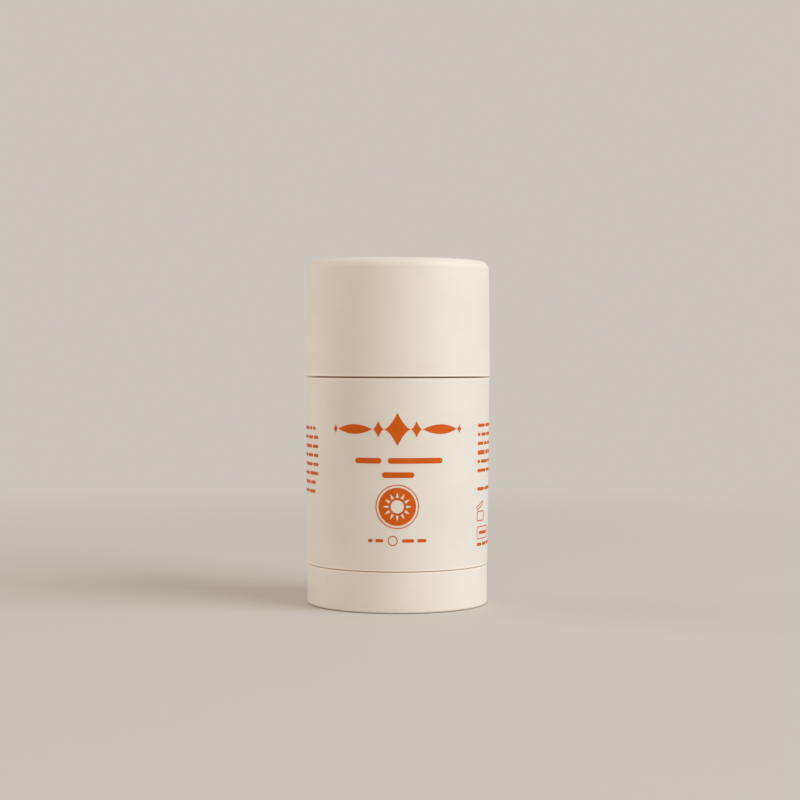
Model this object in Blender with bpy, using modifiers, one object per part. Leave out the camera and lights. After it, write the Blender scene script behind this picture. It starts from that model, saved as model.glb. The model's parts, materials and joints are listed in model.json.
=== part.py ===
"""A twist-up sunscreen stick, as an assembly of the pieces that it comes apart into.

The dial at the foot turns a screw, the screw lifts the elevator, and the elevator lifts the product
out of the neck, once the cap and the sealing dome under it are off. Sizes are in metres, +Z is up,
and the origin is the centre of the ring that the stick stands on. Everything is turned about Z.
"""

import math

import bmesh
import bpy
from mathutils import Matrix, Vector

# The outside, as it is seen
STICK_RADIUS = 0.0180  # at the cap's rim, the widest place
CAP_TAPER = 0.0003  # the cap's top is this much smaller in radius than its rim
CAP_PROUD = 0.00014  # the sleeve's top lies this much inside the cap's rim
SLEEVE_TAPER = 0.00026  # the sleeve narrows by this much towards its foot
DIAL_INSET = 0.0001  # the dial lies this much inside the sleeve's foot
CAP_LENGTH = 0.02225
CAP_SEAM = 0.0003
SLEEVE_LENGTH = 0.03595
DIAL_SEAM = 0.0003
DIAL_HEIGHT = 0.0077
CAP_CORNER = 0.0018  # fillet round the cap's flat top
DIAL_CORNER = 0.0008  # fillet round the dial's foot
SEAM_EDGE = 0.00025  # fillet on the edges beside the two seams

# Clearances
FIT_GAP = 0.0003  # between pieces that sit in or on each other
SLIP_GAP = 0.0003  # between the neck and the liner that slides over it
THREAD_GAP = 0.0003  # between the screw and its nut

# Cap, liner and gasket
CAP_WALL = 0.0008  # at the cap's top; the taper thickens it towards the rim
CAP_TOP_WALL = 0.0013
LINER_WALL = 0.0009
LINER_SETBACK = 0.0004  # from the cap's rim up to the liner's
LINER_CORNER = 0.0012
GASKET_HEIGHT = 0.0010

# Sealing dome
SEAL_WALL = 0.0008
SEAL_SKIRT = 0.0025
SEAL_EDGE = 0.0002
KNOB_HEIGHT = 0.0022
KNOB_RADIUS = 0.0030
KNOB_UNDERCUT = 0.0008  # how much narrower the knob's stem is than its head
KNOB_HEAD = 0.0010
KNOB_EDGE = 0.0003

# Sleeve and barrel
SLEEVE_WALL = 0.0014  # at the sleeve's foot
SLEEVE_SHOULDER = 0.0012
NECK_WALL = 0.0009
NECK_EDGE = 0.0003
NECK_BEAD = 0.00015  # snap bead on the neck, for the cap
NECK_BEAD_SPAN = 0.0008
NECK_BEAD_RISE = 0.0030  # above the cap's rim
BARREL_FLOOR = 0.0012
BARREL_FLOOR_LIFT = 0.0010  # from the sleeve's foot up to the underside of the floor
COLLAR_WALL = 0.0016
RIB_COUNT = 4
RIB_WIDTH = 0.0016
RIB_HEIGHT = 0.0006
RIB_ROOT = 0.0003  # how far the ribs sink into the wall and the floor

# Snap beads that hold the shells on, each in a groove of its neighbour
SNAP_HEIGHT = 0.0005
SNAP_SPAN = 0.0010
SLEEVE_SNAP_RISE = 0.0040  # above the sleeve's foot
LINER_SNAP_RISE = 0.0050  # above the cap's rim
CORE_SNAP_RISE = 0.0022  # above the underside of the dial's core

# Product and elevator
DOME_RISE = 0.0042
PLATFORM = 0.0016
CUP_WALL = 0.0010
CUP_HEIGHT = 0.0019  # above the platform
CROWN_INSET = 0.0017  # from the cup's wall in to the crown
CROWN_WALL = 0.0010
CROWN_HEIGHT = 0.0049
CROWN_SLOTS = 4
CROWN_SLOT_WIDTH = 0.0030
CROWN_SILL = 0.0005
HUB_WALL = 0.0022
HUB_LENGTH = 0.0080

# Screw
PITCH = 0.0040
SPINDLE_CORE = 0.0029
THREAD_HEIGHT = 0.0009
THREAD_ROOT_WIDTH = 0.0017
THREAD_CREST_WIDTH = 0.0009
THREAD_SINK = 0.0003  # how far the thread's root sinks into the screw's core
THREAD_RUN_IN = 0.0009  # from the first turn up to the journal's top
JOURNAL_MARGIN = 0.0001  # the journal is this much larger than the thread
SPINDLE_SETBACK = 0.0007  # from the neck's rim down to the spindle's tip
SPINDLE_CHAMFER = 0.0004
FLANGE_RADIUS = 0.0095
FLANGE_HEIGHT = 0.0023
O_RING_SECTION = 0.0010
HEX_FLATS = 0.0100
BOSS_WALL = 0.0020  # round the socket's corners

# Dial
DIAL_WALL = 0.0009
DIAL_FLOOR = 0.0011
DIAL_RECESS = 0.0005  # the underside inside the standing ring
DIAL_RING_WIDTH = 0.0030
CORE_WALL = 0.0008
CORE_FLOOR = 0.0010
CORE_SETBACK = 0.0003  # the core's wall ends this far below the dial's top
LIP_BITE = 0.0003  # how far the lip reaches over the collar's bead
LIP_HEIGHT = 0.0007
BEAD_HEIGHT = 0.0008
BEAD_EDGE = 0.0002
DRAG_RING_SECTION = 0.0008
DRAG_GROOVE_LAND = 0.0005  # from the barrel's shoulder down to the groove

# How finely round shapes are drawn
ROUND_STEPS = 36
THREAD_STEPS = 16
DOME_STEPS = 5
FILLET_STEPS = 3
RING_SECTION_STEPS = 8
HEX_SIDES = 6
MERGE_DISTANCE = 0.00001
OVERRUN = 0.0010  # how far a cut runs past what it cuts

# Radii, from the outside in
CAP_TOP_RADIUS = STICK_RADIUS - CAP_TAPER
SLEEVE_TOP_RADIUS = STICK_RADIUS - CAP_PROUD
SLEEVE_FOOT_RADIUS = SLEEVE_TOP_RADIUS - SLEEVE_TAPER
DIAL_RADIUS = SLEEVE_FOOT_RADIUS - DIAL_INSET
CAP_BORE = CAP_TOP_RADIUS - CAP_WALL
LINER_RADIUS = CAP_BORE - FIT_GAP
LINER_BORE = LINER_RADIUS - LINER_WALL
NECK_RADIUS = LINER_BORE - SLIP_GAP
BARREL_BORE = NECK_RADIUS - NECK_WALL
SLEEVE_BORE = SLEEVE_FOOT_RADIUS - SLEEVE_WALL
BARREL_RADIUS = SLEEVE_BORE - FIT_GAP
PRODUCT_RADIUS = BARREL_BORE - FIT_GAP
SEAL_BORE = PRODUCT_RADIUS - SEAL_WALL
DOME_RADIUS = SEAL_BORE - FIT_GAP
LINER_CROWN_BORE = PRODUCT_RADIUS + FIT_GAP
RIB_TIP = BARREL_BORE - RIB_HEIGHT
RIB_SLOT_FLOOR = RIB_TIP - FIT_GAP
CUP_BORE = PRODUCT_RADIUS - CUP_WALL
CROWN_RADIUS = CUP_BORE - CROWN_INSET
CROWN_BORE = CROWN_RADIUS - CROWN_WALL
THREAD_RADIUS = SPINDLE_CORE + THREAD_HEIGHT
JOURNAL_RADIUS = THREAD_RADIUS + JOURNAL_MARGIN
NUT_BORE = SPINDLE_CORE + THREAD_GAP
HUB_RADIUS = THREAD_RADIUS + THREAD_GAP + HUB_WALL
SHELL_BORE = DIAL_RADIUS - DIAL_WALL
CORE_RADIUS = SHELL_BORE - FIT_GAP
CORE_BORE = CORE_RADIUS - CORE_WALL
BEAD_RADIUS = CORE_BORE - FIT_GAP
LIP_BORE = BEAD_RADIUS - LIP_BITE
COLLAR_RADIUS = LIP_BORE - FIT_GAP
COLLAR_BORE = COLLAR_RADIUS - COLLAR_WALL
DRAG_RING_BORE = BEAD_RADIUS - DRAG_RING_SECTION
BOSS_RADIUS = HEX_FLATS / 2 / math.cos(math.pi / HEX_SIDES) + BOSS_WALL

# Heights of the outside, from the foot up
SLEEVE_FOOT = DIAL_HEIGHT + DIAL_SEAM
SLEEVE_TOP = SLEEVE_FOOT + SLEEVE_LENGTH
CAP_RIM = SLEEVE_TOP + CAP_SEAM
CAP_TOP = CAP_RIM + CAP_LENGTH

# Heights inside the cap, from its top down to the neck
CAP_CEILING = CAP_TOP - CAP_TOP_WALL
LINER_TOP = CAP_CEILING - FIT_GAP
LINER_CEILING = LINER_TOP - LINER_WALL
LINER_RIM = CAP_RIM + LINER_SETBACK
KNOB_TOP = LINER_CEILING - FIT_GAP
SEAL_TOP = KNOB_TOP - KNOB_HEIGHT
DOME_TOP = SEAL_TOP - SEAL_WALL - FIT_GAP
DOME_BASE = DOME_TOP - DOME_RISE
FLANGE_UNDERSIDE = DOME_BASE - SEAL_WALL
NECK_RIM = FLANGE_UNDERSIDE - FIT_GAP
SKIRT_RIM = FLANGE_UNDERSIDE - SEAL_SKIRT
PRODUCT_STEP = SKIRT_RIM - FIT_GAP
RIB_TOP = PRODUCT_STEP - FIT_GAP
GASKET_FOOT = DOME_BASE + FIT_GAP
GASKET_TOP = GASKET_FOOT + GASKET_HEIGHT
LINER_STEP = GASKET_TOP + FIT_GAP
BARREL_STEP = SLEEVE_TOP - SLEEVE_SHOULDER - FIT_GAP

# Heights of the barrel's floor and what turns and rises on it
FLOOR_UNDERSIDE = SLEEVE_FOOT + BARREL_FLOOR_LIFT
FLOOR_TOP = FLOOR_UNDERSIDE + BARREL_FLOOR
ELEVATOR_FOOT = FLOOR_TOP + FIT_GAP
PLATFORM_TOP = ELEVATOR_FOOT + PLATFORM
CUP_TOP = PLATFORM_TOP + CUP_HEIGHT
CROWN_TOP = PLATFORM_TOP + CROWN_HEIGHT
HUB_TOP = ELEVATOR_FOOT + HUB_LENGTH
SPINDLE_TOP = NECK_RIM - SPINDLE_SETBACK
SPINDLE_HOLE_TOP = SPINDLE_TOP + FIT_GAP
FLANGE_TOP = FLOOR_UNDERSIDE - FIT_GAP
FLANGE_FOOT = FLANGE_TOP - FLANGE_HEIGHT
O_RING_FOOT = FLANGE_TOP - O_RING_SECTION
THREAD_START = FLOOR_TOP - THREAD_RUN_IN

# Heights inside the dial: the floors from the foot up, the snap from the barrel's shoulder down
DIAL_FLOOR_TOP = DIAL_RECESS + DIAL_FLOOR
CORE_UNDERSIDE = DIAL_FLOOR_TOP + FIT_GAP
CORE_FLOOR_TOP = CORE_UNDERSIDE + CORE_FLOOR
COLLAR_FOOT = CORE_FLOOR_TOP + FIT_GAP
CORE_TOP = DIAL_HEIGHT - CORE_SETBACK
BOSS_TOP = FLANGE_FOOT - FIT_GAP
DRAG_GROOVE_TOP = SLEEVE_FOOT - DRAG_GROOVE_LAND
DRAG_RING_TOP = DRAG_GROOVE_TOP - FIT_GAP
DRAG_GROOVE_FOOT = DRAG_RING_TOP - DRAG_RING_SECTION - FIT_GAP
LIP_FOOT = DRAG_GROOVE_FOOT - LIP_HEIGHT
BEAD_TOP = LIP_FOOT - FIT_GAP
BEAD_FOOT = BEAD_TOP - BEAD_HEIGHT

CREAM = (0.78, 0.70, 0.60)
IVORY = (0.82, 0.79, 0.72)
PALE = (0.86, 0.83, 0.76)
WAX = (0.88, 0.80, 0.64)
SILICONE = (0.55, 0.53, 0.50)

SHELL_ROUGHNESS = 0.5
LINER_ROUGHNESS = 0.4
FITTING_ROUGHNESS = 0.35
WAX_ROUGHNESS = 0.45
SILICONE_ROUGHNESS = 0.6


def clear_scene():
    for old in list(bpy.data.objects):
        bpy.data.objects.remove(old, do_unlink=True)


def new_collection(name):
    made = bpy.data.collections.new(name)
    bpy.context.scene.collection.children.link(made)
    return made


def link_object(name, mesh, collection):
    made = bpy.data.objects.new(name, mesh)
    collection.objects.link(made)
    return made


def add_finish(piece, colour, roughness):
    """Gives a piece a material of its own."""
    material = bpy.data.materials.new(piece.name)
    material.use_nodes = True
    shader = material.node_tree.nodes["Principled BSDF"]
    shader.inputs["Base Color"].default_value = (*colour, 1)
    shader.inputs["Roughness"].default_value = roughness
    shader.inputs["Metallic"].default_value = 0
    piece.data.materials.append(material)


def arc_in_corner(before, corner, after, radius):
    """Points of a fillet, which never takes more than half of the shorter side beside it."""
    back, on = before - corner, after - corner
    half_angle = back.angle(on) / 2
    reach = min(radius / math.tan(half_angle), back.length / 2, on.length / 2)
    radius = reach * math.tan(half_angle)
    toward_centre = (back.normalized() + on.normalized()).normalized()
    centre = corner + toward_centre * (radius / math.sin(half_angle))
    spoke = corner + back.normalized() * reach - centre
    side = 1 if back.x * on.y > back.y * on.x else -1
    turn = side * (2 * half_angle - math.pi) / FILLET_STEPS
    return [centre + Matrix.Rotation(turn * i, 2) @ spoke for i in range(FILLET_STEPS + 1)]


def rounded(outline):
    """An outline's points. A corner is (radius, height), or (radius, height, fillet)."""
    spots = [Vector(corner[:2]) for corner in outline]
    points = []
    for i, corner in enumerate(outline):
        if len(corner) == 2:
            points.append(spots[i])
        else:
            points += arc_in_corner(spots[i - 1], spots[i], spots[(i + 1) % len(spots)], corner[2])
    return points


def outline_mesh(name, points, closed):
    """The points at +X as one line of edges, for a Screw modifier to turn."""
    count = len(points)
    edges = [(i, (i + 1) % count) for i in range(count if closed else count - 1)]
    mesh = bpy.data.meshes.new(name)
    mesh.from_pydata([(point[0], 0, point[1]) for point in points], edges, [])
    return mesh


def turned(name, outline, steps=ROUND_STEPS):
    """A piece turned about Z from an outline that runs down its outer side.

    An outline that starts on the axis ends there too. Any other one closes on itself, as a ring.
    """
    on_axis = outline[0][0] == 0
    piece = link_object(name, outline_mesh(name, rounded(outline), not on_axis), parts)
    screw = piece.modifiers.new("Turn", "SCREW")
    screw.steps = screw.render_steps = steps
    screw.use_merge_vertices = True
    screw.merge_threshold = MERGE_DISTANCE
    return piece


def dome(radius, base, rise):
    """A quarter of an ellipse, from its top on the axis down to its rim."""
    angles = [math.pi / 2 * i / DOME_STEPS for i in range(DOME_STEPS + 1)]
    return [(radius * math.sin(angle), base + rise * math.cos(angle)) for angle in angles]


def ridge(radius, height, middle, span):
    """A bead on a side that runs down, or a groove in one that runs up when it is reversed."""
    return [(radius, middle + span / 2), (radius + height, middle), (radius, middle - span / 2)]


def make_tool(name, mesh):
    """A shape that cuts or joins another, and isn't a part itself."""
    tool = link_object(name, mesh, tools)
    tool.hide_render = True
    tool.display_type = "WIRE"
    return tool


def combine(piece, tool, operation):
    boolean = piece.modifiers.new(tool.name, "BOOLEAN")
    boolean.operation = operation
    boolean.object = tool


def radial_blocks(name, count, low_radius, high_radius, width, foot, top):
    """Blocks set evenly round the axis, as one tool."""
    shape = bmesh.new()
    size = Matrix.Diagonal((high_radius - low_radius, width, top - foot, 1))
    place = Matrix.Translation(((low_radius + high_radius) / 2, 0, (foot + top) / 2))
    for i in range(count):
        turn = Matrix.Rotation(math.tau * i / count, 4, "Z")
        bmesh.ops.create_cube(shape, size=1, matrix=turn @ place @ size)
    mesh = bpy.data.meshes.new(name)
    shape.to_mesh(mesh)
    shape.free()
    return make_tool(name, mesh)


def hexagon(name, flats, foot, top):
    """A six-sided prism on the axis, as a tool."""
    shape = bmesh.new()
    radius = flats / 2 / math.cos(math.pi / HEX_SIDES)
    bmesh.ops.create_cone(
        shape,
        cap_ends=True,
        segments=HEX_SIDES,
        radius1=radius,
        radius2=radius,
        depth=top - foot,
        matrix=Matrix.Translation((0, 0, (foot + top) / 2)),
    )
    mesh = bpy.data.meshes.new(name)
    shape.to_mesh(mesh)
    shape.free()
    return make_tool(name, mesh)


def thread(name, root_radius, grow, start, turns):
    """A left-hand ridge wound up the axis from a start height, with its ends closed, as a tool.

    The section grows by a clearance on every side where the thread is to be cut into a nut.
    """
    root, crest = THREAD_ROOT_WIDTH / 2 + grow, THREAD_CREST_WIDTH / 2 + grow
    top = THREAD_RADIUS + grow
    section = [(root_radius, start + root), (top, start + crest)]
    section += [(top, start - crest), (root_radius, start - root)]
    tool = make_tool(name, outline_mesh(name, section, True))
    screw = tool.modifiers.new("Wind", "SCREW")
    screw.angle = -math.tau
    screw.screw_offset = PITCH
    screw.iterations = turns
    screw.steps = screw.render_steps = THREAD_STEPS
    wound = tool.evaluated_get(bpy.context.evaluated_depsgraph_get())
    shape = bmesh.new()
    shape.from_mesh(bpy.data.meshes.new_from_object(wound))
    bmesh.ops.holes_fill(shape, edges=shape.edges, sides=len(section))
    bmesh.ops.recalc_face_normals(shape, faces=shape.faces)
    tool.modifiers.clear()
    tool.data = bpy.data.meshes.new(name)
    shape.to_mesh(tool.data)
    shape.free()
    return tool


def o_ring(name, bore, section, foot):
    """A ring of round section that lies level, with its lowest point at a height."""
    bpy.ops.mesh.primitive_torus_add(
        major_segments=ROUND_STEPS,
        minor_segments=RING_SECTION_STEPS,
        major_radius=bore + section / 2,
        minor_radius=section / 2,
        location=(0, 0, foot + section / 2),
    )
    ring = bpy.context.active_object
    ring.name = name
    ring.users_collection[0].objects.unlink(ring)
    parts.objects.link(ring)
    ring.data.shade_smooth()
    return ring


def make_cap_shell():
    snap = CAP_RIM + LINER_SNAP_RISE
    outline = [(0, CAP_TOP), (CAP_TOP_RADIUS, CAP_TOP, CAP_CORNER)]
    outline += [(STICK_RADIUS, CAP_RIM, SEAM_EDGE), (CAP_BORE, CAP_RIM)]
    outline += reversed(ridge(CAP_BORE, SNAP_HEIGHT, snap, SNAP_SPAN + 2 * FIT_GAP))
    outline += [(CAP_BORE, CAP_CEILING), (0, CAP_CEILING)]
    return turned("cap_shell", outline)


def make_cap_liner():
    crown = LINER_CROWN_BORE + LINER_WALL
    outline = [(0, LINER_TOP), (crown, LINER_TOP, LINER_CORNER)]
    outline += [(crown, LINER_STEP + LINER_WALL), (LINER_RADIUS, LINER_STEP + LINER_WALL)]
    outline += ridge(LINER_RADIUS, SNAP_HEIGHT, CAP_RIM + LINER_SNAP_RISE, SNAP_SPAN)
    outline += [(LINER_RADIUS, LINER_RIM), (LINER_BORE, LINER_RIM), (LINER_BORE, LINER_STEP)]
    outline += [(LINER_CROWN_BORE, LINER_STEP), (LINER_CROWN_BORE, LINER_CEILING), (0, LINER_CEILING)]
    return turned("cap_liner", outline)


def make_cap_gasket():
    inner, outer = PRODUCT_RADIUS + FIT_GAP, LINER_BORE - FIT_GAP
    outline = [(outer, GASKET_TOP), (outer, GASKET_FOOT), (inner, GASKET_FOOT), (inner, GASKET_TOP)]
    return turned("cap_gasket", outline)


def make_seal_dome():
    stem = KNOB_RADIUS - KNOB_UNDERCUT
    outer = dome(PRODUCT_RADIUS, DOME_BASE, SEAL_TOP - DOME_BASE)
    inner = dome(SEAL_BORE, DOME_BASE, DOME_TOP + FIT_GAP - DOME_BASE)
    beyond_stem = [point for point in outer if point[0] > stem]
    share = math.sqrt(1 - (stem / PRODUCT_RADIUS) ** 2)
    stem_foot = DOME_BASE + (SEAL_TOP - DOME_BASE) * share
    head_foot = KNOB_TOP - KNOB_HEAD
    outline = [(0, KNOB_TOP), (KNOB_RADIUS, KNOB_TOP, KNOB_EDGE), (KNOB_RADIUS, head_foot, KNOB_EDGE)]
    outline += [(stem, head_foot), (stem, stem_foot)]
    outline += beyond_stem
    outline += [(NECK_RADIUS, DOME_BASE, SEAL_EDGE), (NECK_RADIUS, FLANGE_UNDERSIDE)]
    outline += [(PRODUCT_RADIUS, FLANGE_UNDERSIDE), (PRODUCT_RADIUS, SKIRT_RIM), (SEAL_BORE, SKIRT_RIM)]
    outline += reversed(inner)
    return turned("seal_dome", outline)


def make_body_sleeve():
    snap = SLEEVE_FOOT + SLEEVE_SNAP_RISE
    shoulder_bore = NECK_RADIUS + FIT_GAP
    outline = [(SLEEVE_TOP_RADIUS, SLEEVE_TOP, SEAM_EDGE), (SLEEVE_FOOT_RADIUS, SLEEVE_FOOT, SEAM_EDGE)]
    outline += [(SLEEVE_BORE, SLEEVE_FOOT)]
    outline += reversed(ridge(SLEEVE_BORE, SNAP_HEIGHT, snap, SNAP_SPAN + 2 * FIT_GAP))
    outline += [(SLEEVE_BORE, SLEEVE_TOP - SLEEVE_SHOULDER), (shoulder_bore, SLEEVE_TOP - SLEEVE_SHOULDER)]
    outline += [(shoulder_bore, SLEEVE_TOP)]
    return turned("body_sleeve", outline)


def make_inner_barrel():
    groove = DRAG_RING_BORE - FIT_GAP
    outline = [(NECK_RADIUS, NECK_RIM, NECK_EDGE)]
    outline += ridge(NECK_RADIUS, NECK_BEAD, CAP_RIM + NECK_BEAD_RISE, NECK_BEAD_SPAN)
    outline += [(NECK_RADIUS, BARREL_STEP), (BARREL_RADIUS, BARREL_STEP)]
    outline += ridge(BARREL_RADIUS, SNAP_HEIGHT, SLEEVE_FOOT + SLEEVE_SNAP_RISE, SNAP_SPAN)
    outline += [(BARREL_RADIUS, SLEEVE_FOOT), (COLLAR_RADIUS, SLEEVE_FOOT)]
    outline += [(COLLAR_RADIUS, DRAG_GROOVE_TOP), (groove, DRAG_GROOVE_TOP)]
    outline += [(groove, DRAG_GROOVE_FOOT), (COLLAR_RADIUS, DRAG_GROOVE_FOOT)]
    outline += [(COLLAR_RADIUS, BEAD_TOP), (BEAD_RADIUS, BEAD_TOP), (BEAD_RADIUS, BEAD_FOOT, BEAD_EDGE)]
    outline += [(COLLAR_RADIUS, BEAD_FOOT), (COLLAR_RADIUS, COLLAR_FOOT), (COLLAR_BORE, COLLAR_FOOT)]
    outline += [(COLLAR_BORE, FLOOR_UNDERSIDE), (JOURNAL_RADIUS + FIT_GAP, FLOOR_UNDERSIDE)]
    outline += [(JOURNAL_RADIUS + FIT_GAP, FLOOR_TOP), (BARREL_BORE, FLOOR_TOP), (BARREL_BORE, NECK_RIM)]
    barrel = turned("inner_barrel", outline)
    ribs = radial_blocks(
        "barrel_ribs",
        RIB_COUNT,
        RIB_TIP,
        BARREL_BORE + RIB_ROOT,
        RIB_WIDTH,
        FLOOR_TOP - RIB_ROOT,
        RIB_TOP,
    )
    combine(barrel, ribs, "UNION")
    return barrel


def make_rib_slots():
    """The room that the ribs need in whatever rises past them."""
    return radial_blocks(
        "rib_slots",
        RIB_COUNT,
        RIB_SLOT_FLOOR,
        BARREL_BORE + OVERRUN,
        RIB_WIDTH + 2 * FIT_GAP,
        FLOOR_UNDERSIDE,
        PRODUCT_STEP + OVERRUN,
    )


def make_sunscreen_bullet(rib_slots):
    foot = PLATFORM_TOP + FIT_GAP
    cup_bore, cup_top = CUP_BORE - FIT_GAP, CUP_TOP + FIT_GAP
    crown_radius, crown_bore, crown_top = CROWN_RADIUS + FIT_GAP, CROWN_BORE - FIT_GAP, CROWN_TOP + FIT_GAP
    hub_radius, hub_top = HUB_RADIUS + FIT_GAP, HUB_TOP + FIT_GAP
    shaft_bore = THREAD_RADIUS + FIT_GAP
    outline = dome(DOME_RADIUS, DOME_BASE, DOME_RISE)
    outline += [(DOME_RADIUS, PRODUCT_STEP), (PRODUCT_RADIUS, PRODUCT_STEP), (PRODUCT_RADIUS, cup_top)]
    outline += [(cup_bore, cup_top), (cup_bore, foot), (crown_radius, foot), (crown_radius, crown_top)]
    outline += [(crown_bore, crown_top), (crown_bore, foot), (hub_radius, foot), (hub_radius, hub_top)]
    outline += [(shaft_bore, hub_top), (shaft_bore, SPINDLE_HOLE_TOP), (0, SPINDLE_HOLE_TOP)]
    bullet = turned("sunscreen_bullet", outline)
    combine(bullet, rib_slots, "DIFFERENCE")
    return bullet


def make_elevator(rib_slots):
    outline = [(PRODUCT_RADIUS, CUP_TOP), (PRODUCT_RADIUS, ELEVATOR_FOOT), (NUT_BORE, ELEVATOR_FOOT)]
    outline += [(NUT_BORE, HUB_TOP), (HUB_RADIUS, HUB_TOP), (HUB_RADIUS, PLATFORM_TOP)]
    outline += [(CROWN_BORE, PLATFORM_TOP), (CROWN_BORE, CROWN_TOP), (CROWN_RADIUS, CROWN_TOP)]
    outline += [(CROWN_RADIUS, PLATFORM_TOP), (CUP_BORE, PLATFORM_TOP), (CUP_BORE, CUP_TOP)]
    elevator = turned("elevator", outline)
    crown_slots = radial_blocks(
        "crown_slots",
        CROWN_SLOTS,
        CROWN_BORE - FIT_GAP,
        CROWN_RADIUS + FIT_GAP,
        CROWN_SLOT_WIDTH,
        PLATFORM_TOP + CROWN_SILL,
        CROWN_TOP + OVERRUN,
    )
    turns_below = math.floor((ELEVATOR_FOOT - OVERRUN - THREAD_START) / PITCH) - 1
    first = THREAD_START + turns_below * PITCH
    turns = math.ceil((HUB_TOP + OVERRUN - first) / PITCH) + 1
    nut_thread = thread("nut_thread", SPINDLE_CORE, THREAD_GAP, first, turns)
    combine(elevator, rib_slots, "DIFFERENCE")
    combine(elevator, crown_slots, "DIFFERENCE")
    combine(elevator, nut_thread, "DIFFERENCE")
    return elevator


def make_spindle():
    groove_foot = O_RING_FOOT - FIT_GAP
    groove_radius = JOURNAL_RADIUS + O_RING_SECTION + 2 * FIT_GAP
    chamfer_foot = SPINDLE_TOP - SPINDLE_CHAMFER
    tip_radius = SPINDLE_CORE - SPINDLE_CHAMFER
    outline = [(0, SPINDLE_TOP), (tip_radius, SPINDLE_TOP), (SPINDLE_CORE, chamfer_foot)]
    outline += [(SPINDLE_CORE, FLOOR_TOP), (JOURNAL_RADIUS, FLOOR_TOP), (JOURNAL_RADIUS, groove_foot)]
    outline += [(groove_radius, groove_foot), (groove_radius, FLANGE_TOP), (FLANGE_RADIUS, FLANGE_TOP)]
    outline += [(FLANGE_RADIUS, FLANGE_FOOT), (0, FLANGE_FOOT)]
    spindle = turned("spindle", outline, THREAD_STEPS)
    foot = hexagon("spindle_foot", HEX_FLATS, COLLAR_FOOT, (FLANGE_FOOT + groove_foot) / 2)
    room = SPINDLE_TOP - THREAD_ROOT_WIDTH / 2 - THREAD_START
    turns = math.floor(room / PITCH)
    screw_thread = thread("spindle_thread", SPINDLE_CORE - THREAD_SINK, 0, THREAD_START, turns)
    combine(spindle, foot, "UNION")
    combine(spindle, screw_thread, "UNION")
    return spindle


def make_dial_core():
    snap = CORE_UNDERSIDE + CORE_SNAP_RISE
    outline = [(0, BOSS_TOP), (BOSS_RADIUS, BOSS_TOP), (BOSS_RADIUS, CORE_FLOOR_TOP)]
    outline += [(CORE_BORE, CORE_FLOOR_TOP), (CORE_BORE, LIP_FOOT), (LIP_BORE, LIP_FOOT)]
    outline += [(LIP_BORE, DRAG_GROOVE_FOOT), (CORE_BORE, DRAG_GROOVE_FOOT), (CORE_BORE, CORE_TOP)]
    outline += [(CORE_RADIUS, CORE_TOP)]
    outline += ridge(CORE_RADIUS, SNAP_HEIGHT, snap, SNAP_SPAN)
    outline += [(CORE_RADIUS, CORE_UNDERSIDE), (0, CORE_UNDERSIDE)]
    core = turned("dial_core", outline)
    socket = hexagon("hex_socket", HEX_FLATS + 2 * FIT_GAP, CORE_FLOOR_TOP, BOSS_TOP + OVERRUN)
    combine(core, socket, "DIFFERENCE")
    return core


def make_dial_shell():
    snap = CORE_UNDERSIDE + CORE_SNAP_RISE
    ring_bore = DIAL_RADIUS - DIAL_RING_WIDTH
    outline = [(0, DIAL_FLOOR_TOP), (SHELL_BORE, DIAL_FLOOR_TOP)]
    outline += reversed(ridge(SHELL_BORE, SNAP_HEIGHT, snap, SNAP_SPAN + 2 * FIT_GAP))
    outline += [(SHELL_BORE, DIAL_HEIGHT), (DIAL_RADIUS, DIAL_HEIGHT, SEAM_EDGE)]
    outline += [(DIAL_RADIUS, 0, DIAL_CORNER), (ring_bore, 0), (ring_bore, DIAL_RECESS), (0, DIAL_RECESS)]
    return turned("dial_shell", outline)


def add_pivot(name, parent, pieces):
    """An empty on the stick's axis that carries the pieces of one moving body."""
    pivot = link_object(name, None, parts)
    pivot.parent = parent
    for piece in pieces:
        piece.parent = pivot
    return pivot


clear_scene()
parts = new_collection("sunscreen_stick")
tools = new_collection("cutters")

cap_shell = make_cap_shell()
cap_liner = make_cap_liner()
cap_gasket = make_cap_gasket()
seal_dome = make_seal_dome()
body_sleeve = make_body_sleeve()
inner_barrel = make_inner_barrel()
slots = make_rib_slots()
sunscreen_bullet = make_sunscreen_bullet(slots)
elevator_cup = make_elevator(slots)
spindle_screw = make_spindle()
spindle_o_ring = o_ring("spindle_o_ring", JOURNAL_RADIUS + FIT_GAP, O_RING_SECTION, O_RING_FOOT)
drag_ring = o_ring("drag_ring", DRAG_RING_BORE, DRAG_RING_SECTION, DRAG_RING_TOP - DRAG_RING_SECTION)
dial_core = make_dial_core()
dial_shell = make_dial_shell()

for shell in (cap_shell, body_sleeve, dial_shell):
    add_finish(shell, CREAM, SHELL_ROUGHNESS)
for liner in (cap_liner, inner_barrel, elevator_cup):
    add_finish(liner, IVORY, LINER_ROUGHNESS)
for fitting in (seal_dome, spindle_screw, dial_core):
    add_finish(fitting, PALE, FITTING_ROUGHNESS)
for soft_ring in (cap_gasket, spindle_o_ring, drag_ring):
    add_finish(soft_ring, SILICONE, SILICONE_ROUGHNESS)
add_finish(sunscreen_bullet, WAX, WAX_ROUGHNESS)

barrel = add_pivot("barrel", None, (inner_barrel, body_sleeve, drag_ring))
add_pivot("dial_turn", barrel, (dial_shell, dial_core, spindle_screw, spindle_o_ring))
carrier = add_pivot("product_rise", barrel, (elevator_cup, sunscreen_bullet))
seal = add_pivot("seal_pull", carrier, (seal_dome,))
add_pivot("cap_pull", seal, (cap_shell, cap_liner, cap_gasket))
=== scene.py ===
"""The looks of a twist-up sunscreen stick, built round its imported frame.

Each piece that can be seen, shut or taken apart, is turned again from a finer outline of the same
sizes as its solid. The sleeve's print is laid on it as thin raised ink, in plain shapes with no
lettering. Sizes are in metres, +Z is up, and the print's middle faces -Y.
"""

import json
import math
import random

import bmesh
import bpy
from mathutils import Matrix, Vector

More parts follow.
